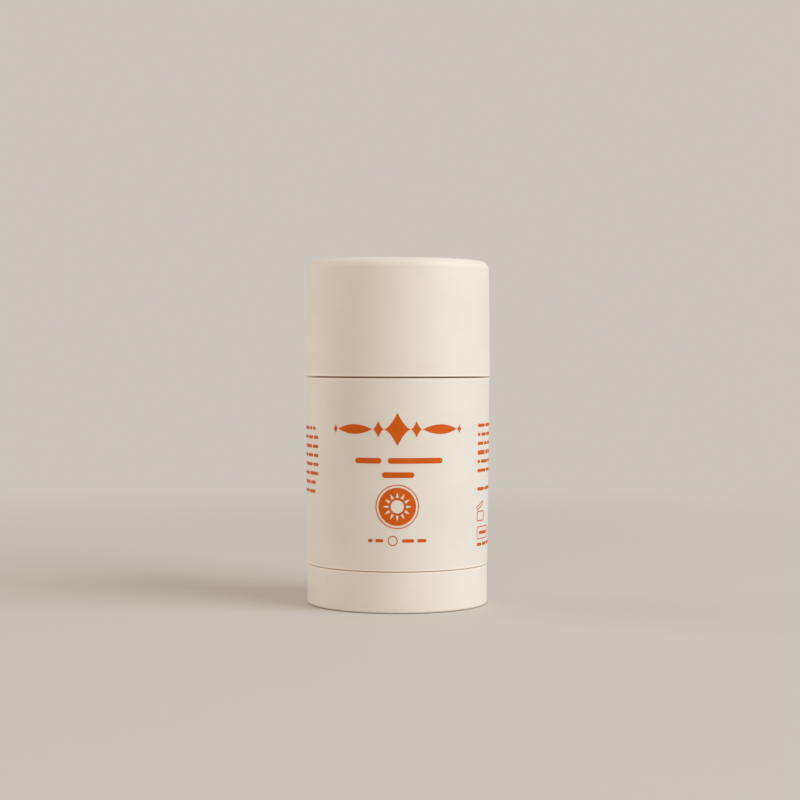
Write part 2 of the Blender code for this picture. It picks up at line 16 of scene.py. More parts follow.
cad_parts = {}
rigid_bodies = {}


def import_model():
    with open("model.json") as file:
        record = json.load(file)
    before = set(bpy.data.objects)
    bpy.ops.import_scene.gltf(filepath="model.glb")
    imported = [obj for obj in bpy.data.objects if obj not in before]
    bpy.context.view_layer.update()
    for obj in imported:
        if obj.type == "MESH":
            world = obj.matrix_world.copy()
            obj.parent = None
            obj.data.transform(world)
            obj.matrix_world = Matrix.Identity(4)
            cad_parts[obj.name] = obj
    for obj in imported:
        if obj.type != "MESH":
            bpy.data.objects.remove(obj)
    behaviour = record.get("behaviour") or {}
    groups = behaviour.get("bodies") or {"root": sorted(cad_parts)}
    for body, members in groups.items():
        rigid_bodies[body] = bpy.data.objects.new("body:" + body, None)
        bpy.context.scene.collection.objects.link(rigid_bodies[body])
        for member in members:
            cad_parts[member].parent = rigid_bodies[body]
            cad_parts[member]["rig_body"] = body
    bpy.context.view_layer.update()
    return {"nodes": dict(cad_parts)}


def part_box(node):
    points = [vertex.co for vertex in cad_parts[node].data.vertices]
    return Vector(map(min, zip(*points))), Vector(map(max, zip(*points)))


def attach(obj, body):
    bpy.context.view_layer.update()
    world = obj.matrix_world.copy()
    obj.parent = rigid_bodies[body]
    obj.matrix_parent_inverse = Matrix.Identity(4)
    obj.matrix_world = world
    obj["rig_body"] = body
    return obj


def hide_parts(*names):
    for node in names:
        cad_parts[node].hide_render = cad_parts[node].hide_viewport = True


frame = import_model()

# Sizes that the solids' boxes give
CAP_RIM, CAP_TOP = (corner.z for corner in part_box("cap_shell"))
STICK_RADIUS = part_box("cap_shell")[1].x
SLEEVE_FOOT, SLEEVE_TOP = (corner.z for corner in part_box("body_sleeve"))
SLEEVE_TOP_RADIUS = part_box("body_sleeve")[1].x
DIAL_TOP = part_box("dial_shell")[1].z
DIAL_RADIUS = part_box("dial_shell")[1].x
LINER_RIM, LINER_TOP = (corner.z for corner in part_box("cap_liner"))
GASKET_FOOT, GASKET_TOP = (corner.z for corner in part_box("cap_gasket"))
GASKET_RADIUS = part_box("cap_gasket")[1].x
SKIRT_RIM, KNOB_TOP = (corner.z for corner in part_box("seal_dome"))
NECK_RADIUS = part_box("seal_dome")[1].x
COLLAR_FOOT, NECK_RIM = (corner.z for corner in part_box("inner_barrel"))
BULLET_FOOT, DOME_TOP = (corner.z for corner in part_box("sunscreen_bullet"))
STICK_MIDDLE = Vector((0, 0, CAP_TOP / 2))

# Sizes that the boxes don't give
CAP_TAPER = 0.0003  # in radius, from its rim to its top
SLEEVE_TAPER = 0.00026  # in radius, from its top to its foot
CAP_CORNER = 0.0018
DIAL_CORNER = 0.00045
SEAM_EDGE = 0.00008
CAP_SEAM = (SLEEVE_TOP, SLEEVE_TOP + 0.00021)  # the sleeve's top and the cap's rim
DIAL_SEAM = (DIAL_TOP + 0.00008, DIAL_TOP + 0.00014)  # the base's top and the sleeve's foot
SOFT_EDGE = 0.00015  # fillet on the moulded edges inside
FIT_GAP = 0.0003
SNAP_HEIGHT = 0.0005
SNAP_SPAN = 0.0010
SNAP_GROOVE_SPAN = SNAP_SPAN + 2 * FIT_GAP

CAP_WALL = 0.0008
LINER_WALL = 0.0009
LINER_CORNER = 0.0012
LINER_SNAP_RISE = 0.0050  # above the cap's rim
GATE_RADIUS = 0.0006  # the stub that the mould's gate leaves
GATE_HEIGHT = 0.0002

SEAL_WALL = 0.0008
KNOB_HEIGHT = 0.0022
KNOB_RADIUS = 0.0030
KNOB_UNDERCUT = 0.0008
KNOB_HEAD = 0.0010
KNOB_EDGE = 0.0003
KNOB_DIMPLE_RADIUS = 0.0014
KNOB_DIMPLE_DEPTH = 0.0003
DOME_RISE = 0.0042

SLEEVE_WALL = 0.0014
SLEEVE_SHOULDER = 0.0012
SLEEVE_SNAP_RISE = 0.0040  # above the sleeve's foot
NECK_WALL = 0.0009
NECK_EDGE = 0.0003
NECK_BEAD = 0.00015
NECK_BEAD_SPAN = 0.0008
NECK_BEAD_RISE = 0.0030  # above the cap's rim
BARREL_FLOOR = 0.0012
BARREL_FLOOR_LIFT = 0.0010
COLLAR_WALL = 0.0016
JOURNAL_HOLE = 0.0042
RIB_COUNT = 4
RIB_WIDTH = 0.0016
RIB_HEIGHT = 0.0006
DRAG_RING_SECTION = 0.0008
DRAG_GROOVE_LAND = 0.0005
LIP_HEIGHT = 0.0007
LIP_BITE = 0.0003
BEAD_HEIGHT = 0.0008

DIAL_WALL = 0.0009
DIAL_FLOOR = 0.0011
DIAL_RECESS = 0.0005
DIAL_RING_WIDTH = 0.0030
DIAL_PAD_RADIUS = 0.0060  # a flat round step under the dial, as moulds leave round their gate
DIAL_PAD_DEPTH = 0.00015
CORE_WALL = 0.0008
CORE_SNAP_RISE = 0.0022  # above the underside of the base's core

PLATFORM_TOP = BULLET_FOOT - FIT_GAP
CUP_HEIGHT = 0.0019
CUP_WALL = 0.0010
CROWN_INSET = 0.0017
CROWN_WALL = 0.0010
CROWN_HEIGHT = 0.0049
HUB_RADIUS = 0.0063
HUB_RISE = 0.0064  # above the elevator's platform
THREAD_RADIUS = 0.0038
SPINDLE_SETBACK = 0.0007  # from the neck's rim down to the spindle's tip

# Radii that follow
SLEEVE_FOOT_RADIUS = SLEEVE_TOP_RADIUS - SLEEVE_TAPER
CAP_TOP_RADIUS = STICK_RADIUS - CAP_TAPER
CAP_BORE = CAP_TOP_RADIUS - CAP_WALL
LINER_RADIUS = CAP_BORE - FIT_GAP
LINER_BORE = LINER_RADIUS - LINER_WALL
BARREL_BORE = NECK_RADIUS - NECK_WALL
SLEEVE_BORE = SLEEVE_FOOT_RADIUS - SLEEVE_WALL
BARREL_RADIUS = SLEEVE_BORE - FIT_GAP
PRODUCT_RADIUS = BARREL_BORE - FIT_GAP
SEAL_BORE = PRODUCT_RADIUS - SEAL_WALL
DOME_RADIUS = SEAL_BORE - FIT_GAP
LINER_CROWN_BORE = PRODUCT_RADIUS + FIT_GAP
RIB_TIP = BARREL_BORE - RIB_HEIGHT
CUP_BORE = PRODUCT_RADIUS - CUP_WALL
CROWN_RADIUS = CUP_BORE - CROWN_INSET
SHELL_BORE = DIAL_RADIUS - DIAL_WALL
BEAD_RADIUS = SHELL_BORE - FIT_GAP - CORE_WALL - FIT_GAP
COLLAR_RADIUS = BEAD_RADIUS - LIP_BITE - FIT_GAP

# Heights that follow
LINER_STEP = GASKET_TOP + FIT_GAP
LINER_CEILING = LINER_TOP - LINER_WALL
CAP_CEILING = LINER_TOP + FIT_GAP
DOME_BASE = DOME_TOP - DOME_RISE
SEAL_TOP = KNOB_TOP - KNOB_HEIGHT
FLANGE_UNDERSIDE = NECK_RIM + FIT_GAP
PRODUCT_STEP = SKIRT_RIM - FIT_GAP
RIB_TOP = PRODUCT_STEP - FIT_GAP
BARREL_STEP = SLEEVE_TOP - SLEEVE_SHOULDER - FIT_GAP
FLOOR_UNDERSIDE = SLEEVE_FOOT + BARREL_FLOOR_LIFT
FLOOR_TOP = FLOOR_UNDERSIDE + BARREL_FLOOR
SPINDLE_HOLE_TOP = NECK_RIM - SPINDLE_SETBACK + FIT_GAP
DRAG_GROOVE_TOP = SLEEVE_FOOT - DRAG_GROOVE_LAND
DRAG_GROOVE_FOOT = DRAG_GROOVE_TOP - DRAG_RING_SECTION - 2 * FIT_GAP
BEAD_TOP = DRAG_GROOVE_FOOT - LIP_HEIGHT - FIT_GAP
DIAL_FLOOR_TOP = DIAL_RECESS + DIAL_FLOOR

# How finely round shapes are drawn
ROUND_STEPS = 192
NOTCHED_STEPS = 384  # where ribs or grooves run along the piece
FILLET_STEPS = 6
DOME_STEPS = 28
SHARP_ANGLE = math.radians(35)

# The print, as arcs to the right of the front's middle and heights above the foot
INK_PROUD = 0.00003
INK_THICKNESS = 0.00004
INK_STEP = 0.0006  # the longest face along the arc, so that ink follows the round
INK_END_STEPS = 6
MERGE_DISTANCE = 0.000001
ORNAMENT_HEIGHT = 0.0344
LOZENGE_HALVES = (0.0026, 0.0031)  # half the width and half the height, as in the pairs below
SIDE_LOZENGE_OFFSET = 0.0036
SIDE_LOZENGE_HALVES = (0.0011, 0.0015)
RULE_OFFSET = 0.0084
RULE_HALVES = (0.0036, 0.0009)
END_LOZENGE_OFFSET = 0.0127
END_LOZENGE_HALVES = (0.0006, 0.0008)
HOLLOWNESS = 1.7  # above 1, so that a lozenge's sides curve in
LEAF_STEPS = 30  # from the middle of a lozenge or rule to its end
NAME_HEIGHT = 0.02855
NAME_WORDS = ((-0.0082, -0.0030), (-0.0018, 0.0088))
SECOND_NAME_HEIGHT = 0.0259
SECOND_NAME_WORDS = ((-0.0029, 0.0032),)
NAME_THICKNESS = 0.00105
ROUNDEL_HEIGHT = 0.0200
ROUNDEL_RADIUS = 0.00354
ROUNDEL_RING = 0.00412
HAIRLINE = 0.00018
SUN_RADIUS = 0.00125
SUN_GAP = 0.0004
RAY_LENGTH = 0.0011
RAY_COUNT = 12
RAY_SHARE = 0.62  # of the turn between two rays, at the ray's foot
CIRCLE_STEPS = 120
FOOT_LINE_HEIGHT = 0.01364
FOOT_LINE_WORDS = ((-0.0056, -0.0047), (-0.0042, -0.0026), (0.0009, 0.0032), (0.0038, 0.0056))
FOOT_LINE_THICKNESS = 0.00062
FOOT_LINE_RING_MIDDLE = -0.00085
FOOT_LINE_RING_RADIUS = 0.00095
LEFT_COLUMN_END = -0.0181
RIGHT_COLUMN_START = 0.0185
COLUMN_WIDTH = 0.0175
SHORT_LINE_WIDTH = COLUMN_WIDTH * 2 / 3
LEFT_COLUMN_TOP = 0.03423
RIGHT_COLUMN_TOP = 0.03485
COLUMN_PITCH = 0.001725
COLUMN_THICKNESS = 0.00062
BOLD_SHARE = 1.35
WORD_GAP = 0.00045
SHORTEST_WORD = 0.0010
LONGEST_WORD = 0.0042
LEFT_LINES = 8
LEFT_SEED = 3
RIGHT_LINES = 6
RIGHT_SEED = 5
RIGHT_BOLD_LINE = 3  # counted from 0
RIGHT_HEADING_HEIGHT = 0.0227
JAR_HEIGHT = 0.0166
JAR_WIDTH = 0.0030
JAR_BODY = 0.0018
LID_THICKNESS = 0.0006
LID_CORNER = LID_THICKNESS / 3
LID_TILT = math.radians(22)
PANEL_HEIGHT = 0.0143
PANEL_SIZE = (0.0056, 0.0023)  # across and up
PANEL_CORNER = 0.0004
LAST_LINE_HEIGHT = 0.0121

# The camera, fitted to the seams, the foot and the top edge in the photograph
CAMERA_PLACE = (0.00044, -0.3562, 0.04767)
CAMERA_PITCH = math.radians(1.321)
CAMERA_ROLL = math.radians(-0.12)
FOCAL_PIXELS = 1824.4
PICTURE_PIXELS = 800
SENSOR_WIDTH = 36  # in millimetres, as Blender's camera takes it
NEAREST_SEEN = 0.01

# Painted light along the outer seams, by distance from them: a warm painted shade at the very edge, where
# the gap is dark, then a little paler as a painted highlight on the lips
SEAM_SHADE_AND_HIGHLIGHT_TINTS = (
    (0.00006, (0.85, 0.72, 0.54)),
    (0.00012, (1.07, 1.07, 1.07)),
    (0.00038, (1.07, 1.07, 1.07)),
    (0.0005, (1, 1, 1)),
)
SEAM_PAINT_DEPTH_SHARE = 0.2  # how fast the tint fades into a seam, against along the outside

# What a finish has unless it says otherwise
CLOUD_SIZE = 0.012
CLOUD_DETAIL = 3.0
TONE_VARIATION = 0.03
SHEEN_SHARE = 0.25  # how large the patches of sheen are, against the clouds of tone
GRAIN_SIZE = 0.00022
GRAIN_DEPTH = 0.0000015
FINE_DETAIL = 2.0
NOISE_RANGE = (0.3, 0.7)  # where nearly all of the noise lies

# The finishes' colours, and the lowest and highest roughness of each
CREAM = (0.79, 0.71, 0.615)
SLEEVE_CREAM = (0.775, 0.702, 0.612)
SHELL_ROUGHNESS = (0.50, 0.57)
IVORY = (0.80, 0.72, 0.60)
IVORY_ROUGHNESS = (0.32, 0.38)
MILKY = (0.84, 0.81, 0.75)
MILKY_ROUGHNESS = (0.36, 0.42)
PALE = (0.86, 0.83, 0.76)
PALE_ROUGHNESS = (0.30, 0.36)
WAX = (0.88, 0.80, 0.64)
WAX_ROUGHNESS = (0.38, 0.48)
SILICONE = (0.55, 0.53, 0.50)
SILICONE_ROUGHNESS = (0.38, 0.46)
ORANGE = (0.63, 0.10, 0.002)
INK_ROUGHNESS = (0.50, 0.60)
FLOOR_COLOUR = (0.63, 0.58, 0.53)
FLOOR_ROUGHNESS = (0.55, 0.65)

# The studio
FLOOR_RADIUS = 3.0
FLOOR_DROP = 0.00005  # keeps the floor clear of the standing ring
FLOOR_FADE = (0.12, 0.36)  # distances at which the floor starts and ends its fade into the backdrop
BACKDROP = (0.60, 0.56, 0.51)
DAYLIGHT = (0.76, 0.88, 1.0)
SHADE = (0.94, 0.965, 1.0)
WARM = (1.0, 0.92, 0.805)
WORLD_STRENGTH = 0.53
SOFTBOX_WIDTH = 1.0


def collection_of(name):
    made = bpy.data.collections.new(name)
    bpy.context.scene.collection.children.link(made)
    return made


def arc_in_corner(before, corner, after, radius):
    """Points of a fillet, which never takes more than half of the shorter side beside it."""
    back, on = before - corner, after - corner
    half_angle = back.angle(on) / 2
    reach = min(radius / math.tan(half_angle), back.length / 2, on.length / 2)
    radius = reach * math.tan(half_angle)
    toward_centre = (back.normalized() + on.normalized()).normalized()
    centre = corner + toward_centre * (radius / math.sin(half_angle))
    spoke = corner + back.normalized() * reach - centre
    side = 1 if back.x * on.y > back.y * on.x else -1
    turn = side * (2 * half_angle - math.pi) / FILLET_STEPS
    return [centre + Matrix.Rotation(turn * i, 2) @ spoke for i in range(FILLET_STEPS + 1)]


def rounded(outline):
    """An outline's points. A corner is (radius, height), or (radius, height, fillet)."""
    spots = [Vector(corner[:2]) for corner in outline]
    points = []
    for i, corner in enumerate(outline):
        if len(corner) == 2:
            points.append(spots[i])
        else:
            points += arc_in_corner(spots[i - 1], spots[i], spots[(i + 1) % len(spots)], corner[2])
    return points


def dome(radius, base, rise):
    """A quarter of an ellipse, from its top on the axis down to its rim."""
    angles = [math.pi / 2 * i / DOME_STEPS for i in range(DOME_STEPS + 1)]
    return [(radius * math.sin(angle), base + rise * math.cos(angle)) for angle in angles]


def ridge(radius, height, middle, span):
    """A bead on a side that runs down, or a groove in one that runs up when it is reversed."""
    return [(radius, middle + span / 2), (radius + height, middle), (radius, middle - span / 2)]


def turned(name, outline, steps=ROUND_STEPS, reach=None):
    """A closed piece turned about Z from an outline that runs down its outer side.

    An outline that starts on the axis ends there too, and any other one closes on itself. reach,
    where it is given, takes a point's radius, height and azimuth and gives its radius there.
    """
    points = rounded(outline)
    azimuths = [math.tau * i / steps for i in range(steps)]
    shape = bmesh.new()
    rings = []
    for radius, height in points:
        ring = []
        for azimuth in azimuths if radius else [0]:
            far = reach(radius, height, azimuth) if reach else radius
            ring.append(shape.verts.new((far * math.cos(azimuth), far * math.sin(azimuth), height)))
        rings.append(ring)
    followers = rings[1:] if outline[0][0] == 0 else rings[1:] + rings[:1]
    for upper, lower in zip(rings, followers):
        for i in range(steps):
            corners = [(upper, i), (lower, i), (lower, i + 1), (upper, i + 1)]
            spots = dict.fromkeys(ring[place % len(ring)] for ring, place in corners)
            shape.faces.new(list(spots)).smooth = True
    mesh = bpy.data.meshes.new(name)
    shape.to_mesh(mesh)
    shape.free()
    mesh.set_sharp_from_angle(angle=SHARP_ANGLE)
    piece = bpy.data.objects.new(name, mesh)
    pieces.objects.link(piece)
    piece.modifiers.new("Shading", "WEIGHTED_NORMAL").keep_sharp = True
    return piece


def stand_for(piece, node, material):
    """The piece takes its solid's place and body, with the material given."""
    piece.data.materials.append(material)
    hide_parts(node)
    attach(piece, frame["nodes"][node]["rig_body"])


def gate_stub(face, out):
    """The mould's gate stub in the middle of a face, as an outline that runs in to the axis."""
    return [(GATE_RADIUS, face), (GATE_RADIUS, face + out * GATE_HEIGHT), (0, face + out * GATE_HEIGHT)]


def make_cap_shell():
    outline = [(0, CAP_TOP), (CAP_TOP_RADIUS, CAP_TOP, CAP_CORNER)]
    outline += [(STICK_RADIUS, CAP_SEAM[1], SEAM_EDGE), (CAP_BORE, CAP_SEAM[1], SOFT_EDGE)]
    outline += reversed(ridge(CAP_BORE, SNAP_HEIGHT, CAP_RIM + LINER_SNAP_RISE, SNAP_GROOVE_SPAN))
    outline += [(CAP_BORE, CAP_CEILING), (0, CAP_CEILING)]
    return turned("cap_outer_shell", outline)


def make_cap_liner():
    crown = LINER_CROWN_BORE + LINER_WALL
    outline = [(0, LINER_TOP), (crown, LINER_TOP, LINER_CORNER)]
    outline += [(crown, LINER_STEP + LINER_WALL, SOFT_EDGE)]
    outline += [(LINER_RADIUS, LINER_STEP + LINER_WALL, SOFT_EDGE)]
    outline += ridge(LINER_RADIUS, SNAP_HEIGHT, CAP_RIM + LINER_SNAP_RISE, SNAP_SPAN)
    outline += [(LINER_RADIUS, LINER_RIM, SOFT_EDGE), (LINER_BORE, LINER_RIM, SOFT_EDGE)]
    outline += [(LINER_BORE, LINER_STEP, SOFT_EDGE), (LINER_CROWN_BORE, LINER_STEP, SOFT_EDGE)]
    outline += [(LINER_CROWN_BORE, LINER_CEILING, SOFT_EDGE)]
    outline += gate_stub(LINER_CEILING, -1)
    return turned("cap_inner_liner", outline)


def make_cap_gasket():
    inner = PRODUCT_RADIUS + FIT_GAP
    outline = [(GASKET_RADIUS, GASKET_TOP, SOFT_EDGE), (GASKET_RADIUS, GASKET_FOOT, SOFT_EDGE)]
    outline += [(inner, GASKET_FOOT, SOFT_EDGE), (inner, GASKET_TOP, SOFT_EDGE)]
    return turned("cap_sealing_ring", outline)


def make_seal_dome():
    stem = KNOB_RADIUS - KNOB_UNDERCUT
    rise = SEAL_TOP - DOME_BASE
    head_foot = KNOB_TOP - KNOB_HEAD
    stem_foot = DOME_BASE + rise * math.sqrt(1 - (stem / PRODUCT_RADIUS) ** 2)
    outline = [(0, KNOB_TOP - KNOB_DIMPLE_DEPTH), (KNOB_DIMPLE_RADIUS, KNOB_TOP, SOFT_EDGE)]
    outline += [(KNOB_RADIUS, KNOB_TOP, KNOB_EDGE), (KNOB_RADIUS, head_foot, KNOB_EDGE)]
    outline += [(stem, head_foot, SOFT_EDGE), (stem, stem_foot, SOFT_EDGE)]
    outline += [point for point in dome(PRODUCT_RADIUS, DOME_BASE, rise) if point[0] > stem + SOFT_EDGE]
    outline += [(NECK_RADIUS, DOME_BASE, SOFT_EDGE), (NECK_RADIUS, FLANGE_UNDERSIDE, SOFT_EDGE)]
    outline += [(PRODUCT_RADIUS, FLANGE_UNDERSIDE), (PRODUCT_RADIUS, SKIRT_RIM, SOFT_EDGE)]
    outline += [(SEAL_BORE, SKIRT_RIM, SOFT_EDGE)]
    outline += reversed(dome(SEAL_BORE, DOME_BASE, DOME_TOP + FIT_GAP - DOME_BASE))
    return turned("sealing_dome", outline)


def make_body_sleeve():
    shoulder_bore = NECK_RADIUS + FIT_GAP
    shoulder_foot = SLEEVE_TOP - SLEEVE_SHOULDER
    foot = DIAL_SEAM[1]
    snap = SLEEVE_FOOT + SLEEVE_SNAP_RISE
    outline = [(SLEEVE_TOP_RADIUS, CAP_SEAM[0], SEAM_EDGE), (SLEEVE_FOOT_RADIUS, foot, SEAM_EDGE)]
    outline += [(SLEEVE_BORE, foot, SOFT_EDGE)]
    outline += reversed(ridge(SLEEVE_BORE, SNAP_HEIGHT, snap, SNAP_GROOVE_SPAN))
    outline += [(SLEEVE_BORE, shoulder_foot), (shoulder_bore, shoulder_foot)]
    outline += [(shoulder_bore, SLEEVE_TOP, SOFT_EDGE)]
    return turned("printed_sleeve", outline)


def off_nearest(angle, count):
    """How far an angle is, in radians, from the nearest of count even ones that start at 0."""
    spacing = math.tau / count
    return abs((angle + spacing / 2) % spacing - spacing / 2)


def barrel_reach(radius, height, azimuth):
    """The barrel's bore steps in at its ribs."""
    on_rib = off_nearest(azimuth, RIB_COUNT) * BARREL_BORE < RIB_WIDTH / 2
    in_bore = RIB_TIP < radius <= BARREL_BORE and FLOOR_TOP <= height <= RIB_TOP
    return RIB_TIP if on_rib and in_bore else radius


def bullet_reach(radius, height, azimuth):
    """The product's side is grooved where the barrel's ribs slide."""
    in_groove = off_nearest(azimuth, RIB_COUNT) * PRODUCT_RADIUS < RIB_WIDTH / 2 + FIT_GAP
    return min(radius, RIB_TIP - FIT_GAP) if in_groove and height < PRODUCT_STEP + FIT_GAP else radius


def make_inner_barrel():
    groove = BEAD_RADIUS - DRAG_RING_SECTION - FIT_GAP
    bead_foot = BEAD_TOP - BEAD_HEIGHT
    collar_bore = COLLAR_RADIUS - COLLAR_WALL
    rib_shoulder = RIB_TOP + RIB_HEIGHT / 2
    outline = [(NECK_RADIUS, NECK_RIM, NECK_EDGE)]
    outline += ridge(NECK_RADIUS, NECK_BEAD, CAP_RIM + NECK_BEAD_RISE, NECK_BEAD_SPAN)
    outline += [(NECK_RADIUS, BARREL_STEP), (BARREL_RADIUS, BARREL_STEP)]
    outline += ridge(BARREL_RADIUS, SNAP_HEIGHT, SLEEVE_FOOT + SLEEVE_SNAP_RISE, SNAP_SPAN)
    outline += [(BARREL_RADIUS, SLEEVE_FOOT), (COLLAR_RADIUS, SLEEVE_FOOT), (COLLAR_RADIUS, DRAG_GROOVE_TOP)]
    outline += [(groove, DRAG_GROOVE_TOP), (groove, DRAG_GROOVE_FOOT), (COLLAR_RADIUS, DRAG_GROOVE_FOOT)]
    outline += [(COLLAR_RADIUS, BEAD_TOP), (BEAD_RADIUS, BEAD_TOP), (BEAD_RADIUS, bead_foot, SOFT_EDGE)]
    outline += [(COLLAR_RADIUS, bead_foot), (COLLAR_RADIUS, COLLAR_FOOT)]
    outline += [(collar_bore, COLLAR_FOOT), (collar_bore, FLOOR_UNDERSIDE)]
    outline += [(JOURNAL_HOLE, FLOOR_UNDERSIDE), (JOURNAL_HOLE, FLOOR_TOP), (BARREL_BORE, FLOOR_TOP)]
    outline += [(BARREL_BORE, RIB_TOP), (BARREL_BORE, rib_shoulder), (BARREL_BORE, NECK_RIM, NECK_EDGE)]
    return turned("neck_and_barrel", outline, NOTCHED_STEPS, barrel_reach)


def make_sunscreen_bullet():
    cup_bore, cup_top = CUP_BORE - FIT_GAP, PLATFORM_TOP + CUP_HEIGHT + FIT_GAP
    crown_top = PLATFORM_TOP + CROWN_HEIGHT + FIT_GAP
    crown_radius, crown_bore = CROWN_RADIUS + FIT_GAP, CROWN_RADIUS - CROWN_WALL - FIT_GAP
    hub_radius, hub_top = HUB_RADIUS + FIT_GAP, PLATFORM_TOP + HUB_RISE + FIT_GAP
    shaft_bore = THREAD_RADIUS + FIT_GAP
    outline = dome(DOME_RADIUS, DOME_BASE, DOME_RISE)
    outline += [(DOME_RADIUS, PRODUCT_STEP), (PRODUCT_RADIUS, PRODUCT_STEP, SOFT_EDGE)]
    outline += [(PRODUCT_RADIUS, cup_top), (cup_bore, cup_top)]
    outline += [(cup_bore, BULLET_FOOT), (crown_radius, BULLET_FOOT)]
    outline += [(crown_radius, crown_top), (crown_bore, crown_top), (crown_bore, BULLET_FOOT)]
    outline += [(hub_radius, BULLET_FOOT), (hub_radius, hub_top), (shaft_bore, hub_top)]
    outline += [(shaft_bore, SPINDLE_HOLE_TOP), (0, SPINDLE_HOLE_TOP)]
    return turned("sunscreen_product", outline, NOTCHED_STEPS, bullet_reach)


def make_dial_shell():
    snap = DIAL_FLOOR_TOP + FIT_GAP + CORE_SNAP_RISE
    ring_bore = DIAL_RADIUS - DIAL_RING_WIDTH
    pad = DIAL_RECESS - DIAL_PAD_DEPTH
    outline = [(0, DIAL_FLOOR_TOP), (SHELL_BORE, DIAL_FLOOR_TOP)]
    outline += reversed(ridge(SHELL_BORE, SNAP_HEIGHT, snap, SNAP_GROOVE_SPAN))
    outline += [(SHELL_BORE, DIAL_SEAM[0], SOFT_EDGE), (DIAL_RADIUS, DIAL_SEAM[0], SEAM_EDGE)]
    outline += [(DIAL_RADIUS, 0, DIAL_CORNER), (ring_bore, 0, SOFT_EDGE)]
    outline += [(ring_bore, DIAL_RECESS, SOFT_EDGE)]
    outline += [(DIAL_PAD_RADIUS, DIAL_RECESS), (DIAL_PAD_RADIUS, pad, SOFT_EDGE)]
    outline += gate_stub(pad, -1)
    return turned("turning_base", outline)


def on_sleeve(across, height):
    """A point of the flat print, laid on the sleeve's tapering side."""
    share = (height - SLEEVE_FOOT) / (SLEEVE_TOP - SLEEVE_FOOT)
    radius = SLEEVE_FOOT_RADIUS + SLEEVE_TAPER * share + INK_PROUD
    azimuth = across / SLEEVE_TOP_RADIUS
    return radius * math.sin(azimuth), -radius * math.cos(azimuth), height


def steps_over(low, high):
    """Evenly spaced places from low to high, close enough for ink to follow the round."""
    count = max(1, math.ceil(abs(high - low) / INK_STEP))
    return [low + (high - low) * i / count for i in range(count + 1)]


def bar(left, right, height, thickness):
    """A bar with round ends, as a row of uprights from left to right."""
    radius = thickness / 2
    angles = [math.pi / 2 * i / INK_END_STEPS for i in range(INK_END_STEPS)]
    ends = [(radius * (1 - math.cos(angle)), radius * math.sin(angle)) for angle in angles]
    middle = steps_over(left + radius, right - radius)
    halves = [(left + inset, half) for inset, half in ends]
    halves += [(across, radius) for across in middle]
    halves += [(right - inset, half) for inset, half in reversed(ends)]
    return [[(across, height - half), (across, height + half)] for across, half in halves]


def leaf(middle, height, half_width, half_height, fall):
    """A pointed shape that narrows from its middle to both ends, as fall says for 0 to 1."""
    rows = []
    for i in range(-LEAF_STEPS, LEAF_STEPS + 1):
        share = i / LEAF_STEPS
        across = middle + share * half_width
        half = half_height * fall(abs(share))
        rows.append([(across, height - half), (across, height + half)])
    return rows


def ring(middle, height, outer, inner):
    """A flat ring whose inner radius is a function of the angle."""
    rows = []
    for i in range(CIRCLE_STEPS + 1):
        angle = math.tau * i / CIRCLE_STEPS
        across, up = math.cos(angle), math.sin(angle)
        radii = steps_over(outer, inner(angle))
        rows.append([(middle + radius * across, height + radius * up) for radius in radii])
    depth = max(len(row) for row in rows)
    return [row if len(row) == depth else resampled(row, depth) for row in rows]


def thin_ring(middle, height, radius):
    """A hairline round a circle, just inside the radius given."""
    return ring(middle, height, radius, lambda angle: radius - HAIRLINE)


def resampled(row, count):
    """The same straight row of points, with another number of them."""
    (x, y), (end_x, end_y) = row[0], row[-1]
    shares = [i / (count - 1) for i in range(count)]
    return [(x + (end_x - x) * share, y + (end_y - y) * share) for share in shares]


def stroke(path, width):
    """A line of even width along a closed path, which runs counterclockwise."""
    points = []
    for start, end in zip(path, path[1:] + path[:1]):
        count = len(steps_over(0, (Vector(end) - Vector(start)).length)) - 1
        points += [Vector(start).lerp(Vector(end), i / count) for i in range(count)]
    rows = []
    for i, point in enumerate(points + points[:1]):
        along = points[(i + 1) % len(points)] - points[(i - 1) % len(points)]
        side = Vector((along.y, -along.x)).normalized() * width / 2
        rows.append([tuple(point + side), tuple(point - side)])
    return rows


def rounded_box(left, foot, width, height, corner):
    """A box with round corners, as a closed path that runs counterclockwise."""
    near, far = left + corner, left + (width - corner)
    low, high = foot + corner, foot + (height - corner)
    path = []
    for across, up, start in ((far, low, -90), (far, high, 0), (near, high, 90), (near, low, 180)):
        for i in range(INK_END_STEPS + 1):
            angle = math.radians(start + 90 * i / INK_END_STEPS)
            path.append((across + corner * math.cos(angle), up + corner * math.sin(angle)))
    return path


def inked(name, grids, material):
    """One piece of ink from grids of flat points, whose neighbouring rows are joined by faces."""
    shape = bmesh.new()
    for rows in grids:
        spots = [[shape.verts.new(on_sleeve(*point)) for point in row] for row in rows]
        for row, after in zip(spots, spots[1:]):
            for i in range(len(row) - 1):
                shape.faces.new((row[i], after[i], after[i + 1], row[i + 1])).smooth = True
    bmesh.ops.remove_doubles(shape, verts=shape.verts, dist=MERGE_DISTANCE)
    for edge in shape.edges:
        edge.smooth = not edge.is_boundary
    mesh = bpy.data.meshes.new(name)
    shape.to_mesh(mesh)
    shape.free()
    piece = bpy.data.objects.new(name, mesh)
    pieces.objects.link(piece)
    thicken = piece.modifiers.new("Ink", "SOLIDIFY")
    thicken.thickness = INK_THICKNESS
    thicken.offset = -1
    piece.data.materials.append(material)
    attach(piece, "barrel")
    return piece


def line_of_words(draw, start, width, height, thickness):
    """Bars of chance lengths in place of the words of one line."""
    bars, left = [], start
    while left + SHORTEST_WORD < start + width:
        right = min(left + draw.uniform(SHORTEST_WORD, LONGEST_WORD), start + width)
        bars.append(bar(left, right, height, thickness))
        left = right + WORD_GAP
    return bars


